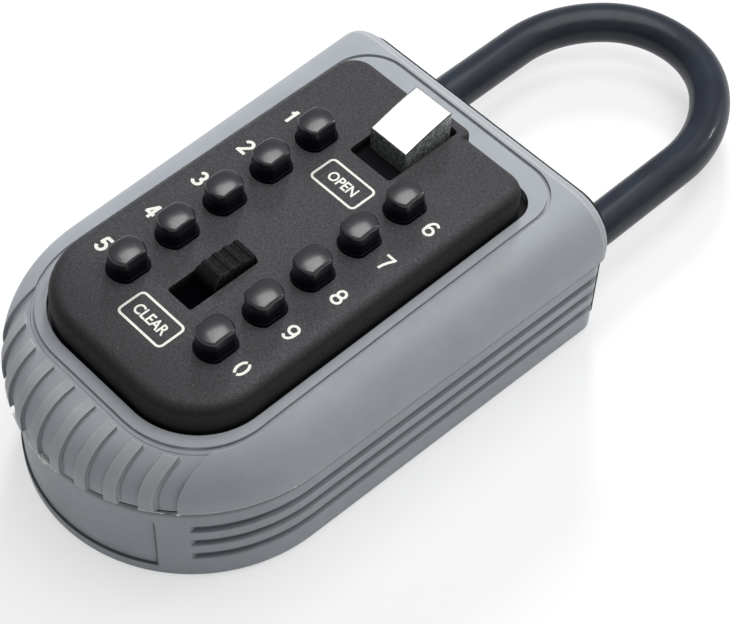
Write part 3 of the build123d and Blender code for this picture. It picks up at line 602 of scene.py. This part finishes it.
def plated(name, colour, rough, brushed=(1, 1, 1), spots=0.0):
    """Plated metal with fine lines, a cloudy tone and dull spots."""
    skin = Recipe(name, rough, metallic=1.0)
    cloud = skin.band(skin.noise(4, 4), 0.3, 0.7)
    tone = skin.mix(cloud, darker(colour, 0.9), colour)
    dull = skin.times(skin.band(skin.noise(1.1, 4), 0.56, 0.7), spots)
    skin.feed("Base Color", skin.mix(dull, tone, darker(colour, 0.5)))
    lines = skin.noise(0.35, 3, 0.6, skin.stretched(*brushed))
    skin.feed("Roughness", skin.band(lines, 0.3, 0.7, rough * 0.85, rough * 1.25))
    skin.soften(0.12)
    skin.relief(lines, 0.006, 0.4)
    return skin.material


def bright_plating():
    """Satin plating of the thumb block: stained sides, with the top painted bright and the sides darker
    as lit and shaded, a painted shade line between them and painted shade on the sunk flange.
    """
    skin = Recipe("bright_plating", 0.22)
    cloud = skin.band(skin.noise(2.5, 4), 0.3, 0.7)
    top = skin.mix(cloud, (0.90, 0.91, 0.91), (0.96, 0.96, 0.95))
    stain = skin.band(skin.noise(0.7, 5, 0.65), 0.40, 0.62)
    side = skin.mix(stain, (0.26, 0.29, 0.275), (0.80, 0.83, 0.81))
    # Painted light: the top is painted bright and the stained sides darker, by which way they face
    up = skin.facing_up()
    # Painted shade: a dark line where the top rounds into the sides
    edge = skin.band(skin.away(up, 0.6), 0.38, 0.25)
    plating = skin.mix(skin.band(up, 0.6, 0.9), side, top)
    plating = skin.mix(edge, plating, (0.14, 0.15, 0.145))
    # Painted shade: the flange below the face is painted near black, dull and not metallic
    above = skin.band(skin.axis("Z"), FACE_Z - 2.2 * MM, FACE_Z - 1.9 * MM)
    skin.feed("Base Color", skin.mix(above, (0.006, 0.006, 0.008), plating))
    skin.feed("Specular IOR Level", skin.band(above, 0, 1, 0.1, 0.5))
    skin.feed("Metallic", skin.times(above, skin.band(up, 0.2, 0.5, 0.64, 1.0)))
    lines = skin.noise(0.35, 3, 0.6, skin.stretched(1, 6, 1))
    brushed = skin.band(lines, 0.3, 0.7, 0.19, 0.30)
    skin.feed("Roughness", skin.calc("MAXIMUM", brushed, skin.band(above, 0, 1, 0.8, 0.19)))
    skin.soften(0.12)
    skin.relief(lines, 0.006, 0.4)
    return skin.material


def matt_moulding():
    """Plain matt moulding of the guide frame."""
    skin = Recipe("matt_moulding", 0.6)
    haze = skin.band(skin.noise(3, 3), 0.3, 0.7)
    skin.feed("Base Color", skin.mix(haze, (0.040, 0.040, 0.042), (0.060, 0.060, 0.062)))
    skin.soften(0.15)
    skin.relief(skin.noise(0.3, 2), 0.01, 0.5)
    return skin.material


def printing_ink(colour):
    """Off-white ink with thin places."""
    skin = Recipe("printing_ink", 0.5)
    thin = skin.band(skin.noise(0.5, 3), 0.52, 0.74, 0, 0.5)
    skin.feed("Base Color", skin.mix(thin, colour, darker(colour, 0.55)))
    skin.relief(skin.noise(0.25, 2), 0.008, 0.5)
    return skin.material


def torn_rubber():
    """Pale thin rubber of torn flash."""
    skin = Recipe("torn_rubber", 0.6, specular=0.4)
    patchy = skin.band(skin.noise(0.6, 3), 0.35, 0.65)
    skin.feed("Base Color", skin.mix(patchy, (0.40, 0.40, 0.39), (0.80, 0.80, 0.77)))
    skin.relief(skin.noise(0.2, 2), 0.02, 0.6)
    return skin.material


# Figures beside the buttons, in strokes on a box two wide and two high
def arc(centre_x, centre_y, radius_x, radius_y, start, end):
    """Points of an elliptic arc between two angles in degrees."""
    steps = round(abs(end - start) / 12)
    angles = [radians(start + (end - start) * step / steps) for step in range(steps + 1)]
    return [(centre_x + radius_x * cos(a), centre_y + radius_y * sin(a)) for a in angles]


def turned(strokes):
    """Strokes turned half round."""
    return [[(-x, -y) for x, y in stroke] for stroke in strokes]


SIX = [arc(0, -0.43, 0.95, 0.57, 0, 360), arc(0.1, 0, 1.05, 1, 48, 205)]
FIGURES = {
    "1": [[(-0.75, 0.42), (-0.2, 0.62), (0.1, 1.1)], [(0.18, 1.15), (0.18, -1.15)]],
    "2": [arc(0, 0.45, 0.92, 0.55, 172, -30) + [(-0.9, -0.98)], [(-1.2, -1), (1.15, -1)]],
    "3": [arc(-0.05, 0.48, 0.82, 0.52, 158, -90), arc(0, -0.5, 0.98, 0.52, 90, -162)],
    "4": [[(0.35, 1.1), (-0.95, -0.42)], [(-1.15, -0.42), (1.2, -0.42)], [(0.45, 1.15), (0.45, -1.15)]],
    "5": [[(0.95, 1), (-0.72, 1)], [(-0.6, 1), (-0.78, 0)], arc(0, -0.38, 0.96, 0.62, 145, -160)],
    "6": SIX,
    "7": [[(-1.1, 1), (1.15, 1)], [(0.98, 1), (0.35, 0.2), (0.0, -0.5), (-0.15, -1.15)]],
    "8": [arc(0, 0.48, 0.78, 0.52, 0, 360), arc(0, -0.47, 0.98, 0.53, 0, 360)],
    "9": turned(SIX),
    "0": [arc(0, 0, 0.95, 1, 104, 252), arc(0, 0, 0.95, 1, 76, -78)],
}


# Pieces
class KEYSAFE_OT_stage(bpy.types.Operator):
    """Lay the floor, hang the lamps and set the camera"""

    bl_idname = "keysafe.stage"
    bl_label = "Stage"

    def execute(self, context):
        settings = context.scene.keysafe_stage
        self.lay_floor(settings)
        self.hang_lamps(settings)
        self.light_room(settings)
        self.set_camera(settings)
        context.scene.view_settings.view_transform = "Standard"
        return {"FINISHED"}

    def lay_floor(self, settings):
        """Pale paper that looks nearly white but keeps the object's shadow."""
        deselect()
        bpy.ops.mesh.primitive_grid_add(x_subdivisions=4, y_subdivisions=4, size=FLOOR_SIZE)
        floor = bpy.context.object
        floor.name = "floor"
        finish = bpy.data.materials.new("floor_paper")
        finish.use_nodes = True
        nodes, links = finish.node_tree.nodes, finish.node_tree.links
        paper = nodes["Principled BSDF"]
        paper.inputs["Base Color"].default_value = (*settings.floor, 1)
        paper.inputs["Roughness"].default_value = 0.9
        glow = nodes.new("ShaderNodeEmission")
        glow.inputs["Color"].default_value = (1, 1, 1, 1)
        glow.inputs["Strength"].default_value = 1.0
        blend = nodes.new("ShaderNodeMixShader")
        links.new(seen_directly(nodes, links, FLOOR_GLOW), blend.inputs["Fac"])
        links.new(paper.outputs["BSDF"], blend.inputs[1])
        links.new(glow.outputs["Emission"], blend.inputs[2])
        links.new(blend.outputs["Shader"], nodes["Material Output"].inputs["Surface"])
        floor.data.materials.append(finish)

    def hang_lamps(self, settings):
        """Square lamps, each given by its place, its target, its size and its power."""
        lamps = (
            ("overhead_lamp", (0.03, 0.15, 0.75), (0, 0.02, 0), 0.7, settings.key_power),
            ("back_lamp", (-0.46, 0.54, 0.46), (0, 0.05, 0), 0.16, settings.fill_power),
            ("glint_lamp", (0.34, 0.78, 0.36), (0, 0, 0.03), 0.09, settings.glint_power),
        )
        for name, place, target, size, power in lamps:
            deselect()
            bpy.ops.object.light_add(type="AREA", location=place)
            lamp = bpy.context.object
            lamp.name = name
            lamp.data.size = size
            lamp.data.energy = power
            aim = Vector(target) - Vector(place)
            lamp.rotation_euler = aim.to_track_quat("-Z", "Y").to_euler()
            lamp.visible_glossy = name != "back_lamp"

    def light_room(self, settings):
        """Even light of a pale room."""
        world = bpy.data.worlds.new("room")
        bpy.context.scene.world = world
        world.use_nodes = True
        nodes, links = world.node_tree.nodes, world.node_tree.links
        room = nodes["Background"]
        room.inputs["Color"].default_value = (0.93, 0.96, 1.0, 1)
        room.inputs["Strength"].default_value = settings.sky
        backdrop = nodes.new("ShaderNodeBackground")
        backdrop.inputs["Color"].default_value = (1, 1, 1, 1)
        blend = nodes.new("ShaderNodeMixShader")
        links.new(seen_directly(nodes, links, ROOM_GLOW), blend.inputs["Fac"])
        links.new(room.outputs["Background"], blend.inputs[1])
        links.new(backdrop.outputs["Background"], blend.inputs[2])
        links.new(blend.outputs["Shader"], nodes["World Output"].inputs["Surface"])

    def set_camera(self, settings):
        """The photo's camera."""
        deselect()
        bpy.ops.object.camera_add()
        camera = bpy.context.object
        camera.name = "photo_camera"
        camera.data.lens = settings.lens
        camera.data.clip_start = 0.01
        turn = Matrix((CAMERA_RIGHT, CAMERA_UP, CAMERA_BACK)).transposed()
        camera.matrix_world = Matrix.LocRotScale(CAMERA_PLACE, turn.to_quaternion(), None)
        bpy.context.scene.camera = camera


def seen_directly(nodes, links, share):
    """A share where the camera, or a reflection, looks straight at the surface."""
    path = nodes.new("ShaderNodeLightPath")
    total = path.outputs["Is Camera Ray"]
    for output in ("Is Glossy Ray", "Is Transmission Ray"):
        node = nodes.new("ShaderNodeMath")
        node.operation = "ADD"
        links.new(total, node.inputs[0])
        links.new(path.outputs[output], node.inputs[1])
        total = node.outputs["Value"]
    scale = nodes.new("ShaderNodeMath")
    scale.operation = "MULTIPLY"
    scale.use_clamp = True
    scale.inputs[1].default_value = share
    links.new(total, scale.inputs[0])
    return scale.outputs["Value"]


class KEYSAFE_OT_jacket(bpy.types.Operator):
    """Finish the rubber jacket"""

    bl_idname = "keysafe.jacket"
    bl_label = "Rubber jacket"

    def execute(self, context):
        coat(jacket_rubber(tuple(context.scene.keysafe_colours.jacket)), "rubber_jacket")
        return {"FINISHED"}


class KEYSAFE_OT_body(bpy.types.Operator):
    """Finish the cast body and the front cover"""

    bl_idname = "keysafe.body"
    bl_label = "Cast body and cover"

    def execute(self, context):
        black = tuple(context.scene.keysafe_colours.cover)
        coat(powder_coat("cover_coat", black, 0.045, sunk=0.9), "front_cover")
        coat(powder_coat("casting_coat", darker(black, 0.2), 0.02), "body_casting")
        return {"FINISHED"}


class KEYSAFE_OT_printing(bpy.types.Operator):
    """Print the numbers and the two labels on the face"""

    bl_idname = "keysafe.printing"
    bl_label = "Printing"

    def execute(self, context):
        sizes = context.scene.keysafe_sizes
        ink = printing_ink(tuple(context.scene.keysafe_colours.ink))
        for digit in DIGITS:
            centre = middle(BUTTON_BOXES[digit])
            side = 1 if centre.x > 0 else -1
            stroke = sizes.right_stroke if side > 0 else sizes.left_stroke
            piece = self.figure(FIGURES[digit], sizes, stroke)
            self.put(piece, side * sizes.digit_x, centre.y)
            hand_over(piece, f"printed_{digit}", "lid", ink)
        for word, y in LABELS:
            letters = self.letters(word, sizes)
            outline = self.label_frame(sizes)
            for piece in (letters, outline):
                self.put(piece, 0, y)
            select_only(outline)
            letters.select_set(True)
            bpy.ops.object.join()
            hand_over(outline, f"{word.lower()}_label", "lid", ink)
        return {"FINISHED"}

    def figure(self, strokes, sizes, width):
        """A figure drawn with flat strokes of this width, each a little higher than the last."""
        scale_x = (sizes.digit_width - width) / 2
        scale_y = (sizes.digit_height - width) / 2
        strips = []
        for layer, stroke in enumerate(strokes):
            height = layer * sizes.ink / 2
            points = [Vector((x * scale_x, y * scale_y, height)) for x, y in stroke]
            closed = (points[0] - points[-1]).length < 0.01 * MM
            before_first, after_last = (points[-2], points[1]) if closed else (points[0], points[-1])
            strip = []
            for before, point, after in zip([before_first, *points], points, [*points[1:], after_last]):
                ahead = (after - before).normalized()
                aside = Vector((-ahead.y, ahead.x, 0)) * width / 2
                strip.append((point + aside, point - aside))
            strips.append(strip)
        return ribbons("figure", strips, sizes.ink, 1)

    def letters(self, word, sizes):
        """A word in flat capitals, centred on the origin, as a mesh."""
        deselect()
        bpy.ops.object.text_add()
        piece = bpy.context.object
        piece.data.body = word
        piece.data.offset = LETTER_BOLDNESS
        piece.data.extrude = LETTER_DEPTH
        piece.data.resolution_u = 6
        bpy.ops.object.convert(target="MESH")
        piece = bpy.context.object
        xs = [point.co.x for point in piece.data.vertices]
        ys = [point.co.y for point in piece.data.vertices]
        scale = sizes.word_height / (max(ys) - min(ys))
        shift = Matrix.Translation(
            (-(max(xs) + min(xs)) / 2, -(max(ys) + min(ys)) / 2, LETTER_DEPTH))
        scales = (scale * LETTER_NARROWING, scale, sizes.ink / (2 * LETTER_DEPTH), 1)
        piece.data.transform(Matrix.Diagonal(scales) @ shift)
        return piece

    def label_frame(self, sizes):
        """Rounded rectangular line round a label."""
        deselect()
        bpy.ops.mesh.primitive_plane_add(size=2)
        piece = bpy.context.object
        piece.scale = (sizes.label_half + sizes.line / 2, (sizes.label_height + sizes.line) / 2, 1)
        settle(piece)
        bpy.ops.object.mode_set(mode="EDIT")
        bpy.ops.mesh.select_all(action="SELECT")
        bpy.ops.mesh.bevel(offset=sizes.label_corner, segments=8, affect="VERTICES")
        bpy.ops.mesh.select_all(action="SELECT")
        bpy.ops.mesh.inset(thickness=sizes.line, depth=0)
        bpy.ops.mesh.delete(type="FACE")
        bpy.ops.mesh.select_all(action="SELECT")
        bpy.ops.mesh.extrude_region_move(TRANSFORM_OT_translate={"value": (0, 0, sizes.ink)})
        bpy.ops.object.mode_set(mode="OBJECT")
        close_up(piece)
        return piece

    def put(self, piece, x, y):
        """Lay a printed piece on the face."""
        piece.data.transform(Matrix.Translation((x, y, FACE_Z)))


class KEYSAFE_OT_buttons(bpy.types.Operator):
    """Finish the ten buttons and the CLEAR thumb piece"""

    bl_idname = "keysafe.buttons"
    bl_label = "Buttons"

    def execute(self, context):
        black = tuple(context.scene.keysafe_colours.button)
        coat(glossy_black(black), *(f"button_{digit}" for digit in DIGITS))
        coat(ridged_black(black), "clear_thumb")
        return {"FINISHED"}


class KEYSAFE_OT_open_block(bpy.types.Operator):
    """Finish the bright thumb block"""

    bl_idname = "keysafe.open_block"
    bl_label = "Open block"

    def execute(self, context):
        coat(bright_plating(), "open_thumb_block")
        return {"FINISHED"}


class KEYSAFE_OT_shackle(bpy.types.Operator):
    """Finish the shackle's rod and sleeve"""

    bl_idname = "keysafe.shackle"
    bl_label = "Shackle"

    def execute(self, context):
        coat(sleeve_vinyl(tuple(context.scene.keysafe_colours.sleeve)), "shackle_sleeve")
        coat(plated("rod_plating", (0.62, 0.62, 0.60), 0.3, (1, 8, 1), 0.3), "shackle_rod")
        return {"FINISHED"}


class KEYSAFE_OT_works(bpy.types.Operator):
    """Finish the plates, pegs, screws and guide frame of the lock"""

    bl_idname = "keysafe.works"
    bl_label = "Lock works"

    def execute(self, context):
        zinc = plated("zinc_plating", (0.66, 0.66, 0.62), 0.34, (8, 1, 1), 0.45)
        brass = plated("turned_brass", (0.80, 0.61, 0.30), 0.28, (1, 1, 6), 0.25)
        coat(matt_moulding(), "guide_frame")
        coat(zinc, "clear_plate", "code_plate", "rear_plate", "rear_plate_screws",
             "shackle_lock_plate", "lock_cover", "lock_cover_screws")
        coat(brass, *(f"code_peg_{digit}" for digit in DIGITS))
        return {"FINISHED"}


class KEYSAFE_OT_springs(bpy.types.Operator):
    """Wind the springs from wire"""

    bl_idname = "keysafe.springs"
    bl_label = "Springs"

    def execute(self, context):
        steel = plated("spring_wire", (0.55, 0.55, 0.54), 0.25)
        wound = {f"button_spring_{digit}": "lid" for digit in DIGITS}
        wound.update(open_spring="lid", clear_spring="lid", shackle_lock_springs="housing")
        for name, body in wound.items():
            piece = self.wind(*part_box(name))
            hand_over(piece, f"wound_{name}", body, steel)
            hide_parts(name)
            self.let_shorten(piece, name)
        return {"FINISHED"}

    def let_shorten(self, piece, name):
        """Read where a spring's fixed end lies along its joint, and give the spring its own mesh."""
        joint, entry = next(
            (joint, entry) for joint in frame["joints"]
            for entry in joint.get("deforming_nodes", ()) if entry["node"] == name)
        letter = entry["mode"][-1]
        along = "xyz".index(letter)
        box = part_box(name)
        axis, anchor = Vector((0, 0, 0)), middle(box)
        axis[along] = 1
        anchor[along] = entry[f"fixed_end_{letter}_m"]
        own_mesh(piece)

    def wind(self, low, high):
        """Springs that fill a box: lying where it is long along Y, a pair where it is wide."""
        size = high - low
        lying = size.y > size.z
        outer = (size.z if lying else size.y) / 2
        centre = middle((low, high))
        places = [centre]
        if size.x > 3 * outer:
            places = [Vector((x, centre.y, centre.z)) for x in (low.x + outer, high.x - outer)]
        coils = [self.coil(outer, size.y if lying else size.z) for place in places]
        for coil, place in zip(coils, places):
            if lying:
                coil.data.transform(Matrix.Rotation(radians(90), 4, "X"))
            coil.data.transform(Matrix.Translation(place))
        select_only(coils[0])
        for coil in coils:
            coil.select_set(True)
        bpy.ops.object.join()
        return coils[0]

    def coil(self, outer, length):
        """One upright spring of this outer radius, centred on the origin."""
        wire = outer * bpy.context.scene.keysafe_sizes.wire
        turns = round(length / (COIL_PITCH * wire))
        deselect()
        bpy.ops.mesh.primitive_circle_add(
            vertices=WIRE_SIDES, radius=wire / 2, rotation=(radians(90), 0, 0),
            location=(outer - wire / 2, 0, (wire - length) / 2))
        piece = bpy.context.object
        settle(piece)
        apply_modifier(piece, "SCREW", angle=radians(360), iterations=turns, steps=TURN_STEPS,
                       render_steps=TURN_STEPS, screw_offset=(length - wire) / turns)
        bpy.ops.object.mode_set(mode="EDIT")
        bpy.ops.mesh.select_all(action="SELECT")
        bpy.ops.mesh.fill_holes(sides=0)
        bpy.ops.object.mode_set(mode="OBJECT")
        close_up(piece)
        return piece


class KEYSAFE_OT_flash(bpy.types.Operator):
    """Leave torn flash under the bulge of the jacket"""

    bl_idname = "keysafe.flash"
    bl_label = "Torn flash"

    def execute(self, context):
        finish = torn_rubber()
        for number, (start, end, drop) in enumerate(FLASHES, 1):
            piece = self.fin(radians(start), radians(end), drop * MM, Random(number))
            hand_over(piece, f"torn_flash_{number}", "housing", finish)
        return {"FINISHED"}

    def fin(self, start, end, drop, chance):
        """Ragged thin fin that hangs from the lower edge of the bulge between two angles."""
        steps = round((end - start) * BULGE_RADIUS / FLASH_STEP)
        strip = []
        for step in range(steps + 1):
            angle = start + (end - start) * step / steps
            fall = drop * chance.uniform(0.15, 1) * sin(pi * (step + 0.5) / (steps + 1))
            inwards = chance.uniform(0.12, 0.28) * MM
            root = (BULGE_RADIUS - FLASH_ROOT, STEP_Z + FLASH_ROOT)
            tip = (BULGE_RADIUS - inwards, STEP_Z - fall)
            strip.append([(radius * cos(angle), FOOT_CENTRE_Y + radius * sin(angle), z)
                          for radius, z in (root, tip)])
        return ribbons("fin", [strip], FLASH_THICKNESS, 0)


OPERATORS = (
    KEYSAFE_OT_stage,
    KEYSAFE_OT_jacket,
    KEYSAFE_OT_body,
    KEYSAFE_OT_printing,
    KEYSAFE_OT_buttons,
    KEYSAFE_OT_open_block,
    KEYSAFE_OT_shackle,
    KEYSAFE_OT_works,
    KEYSAFE_OT_springs,
    KEYSAFE_OT_flash,
)


class KEYSAFE_PT_panel(bpy.types.Panel):
    """Everything that dresses the key safe"""

    bl_idname = "KEYSAFE_PT_panel"
    bl_label = "Key safe"
    bl_space_type = "VIEW_3D"
    bl_region_type = "UI"
    bl_category = "Key safe"

    def draw(self, context):
        scene = context.scene
        for group in (scene.keysafe_sizes, scene.keysafe_colours, scene.keysafe_stage):
            box = self.layout.box()
            for name in group.__annotations__:
                box.prop(group, name)
        for operator in OPERATORS:
            self.layout.operator(operator.bl_idname)


GROUPS = {
    "keysafe_sizes": DressSizes,
    "keysafe_colours": FinishColours,
    "keysafe_stage": StageSettings,
}
CLASSES = (*GROUPS.values(), *OPERATORS, KEYSAFE_PT_panel)


def register():
    """Add the add-on's classes and settings."""
    for item in CLASSES:
        bpy.utils.register_class(item)
    for name, group in GROUPS.items():
        setattr(bpy.types.Scene, name, PointerProperty(type=group))


def unregister():
    """Take the add-on's classes and settings away."""
    for name in GROUPS:
        delattr(bpy.types.Scene, name)
    for item in reversed(CLASSES):
        bpy.utils.unregister_class(item)


def main():
    """Dress the key safe."""
    register()
    bpy.ops.keysafe.stage()
    bpy.ops.keysafe.jacket()
    bpy.ops.keysafe.body()
    bpy.ops.keysafe.printing()
    bpy.ops.keysafe.buttons()
    bpy.ops.keysafe.open_block()
    bpy.ops.keysafe.shackle()
    bpy.ops.keysafe.works()
    bpy.ops.keysafe.springs()
    bpy.ops.keysafe.flash()


if __name__ == "__main__":
    main()
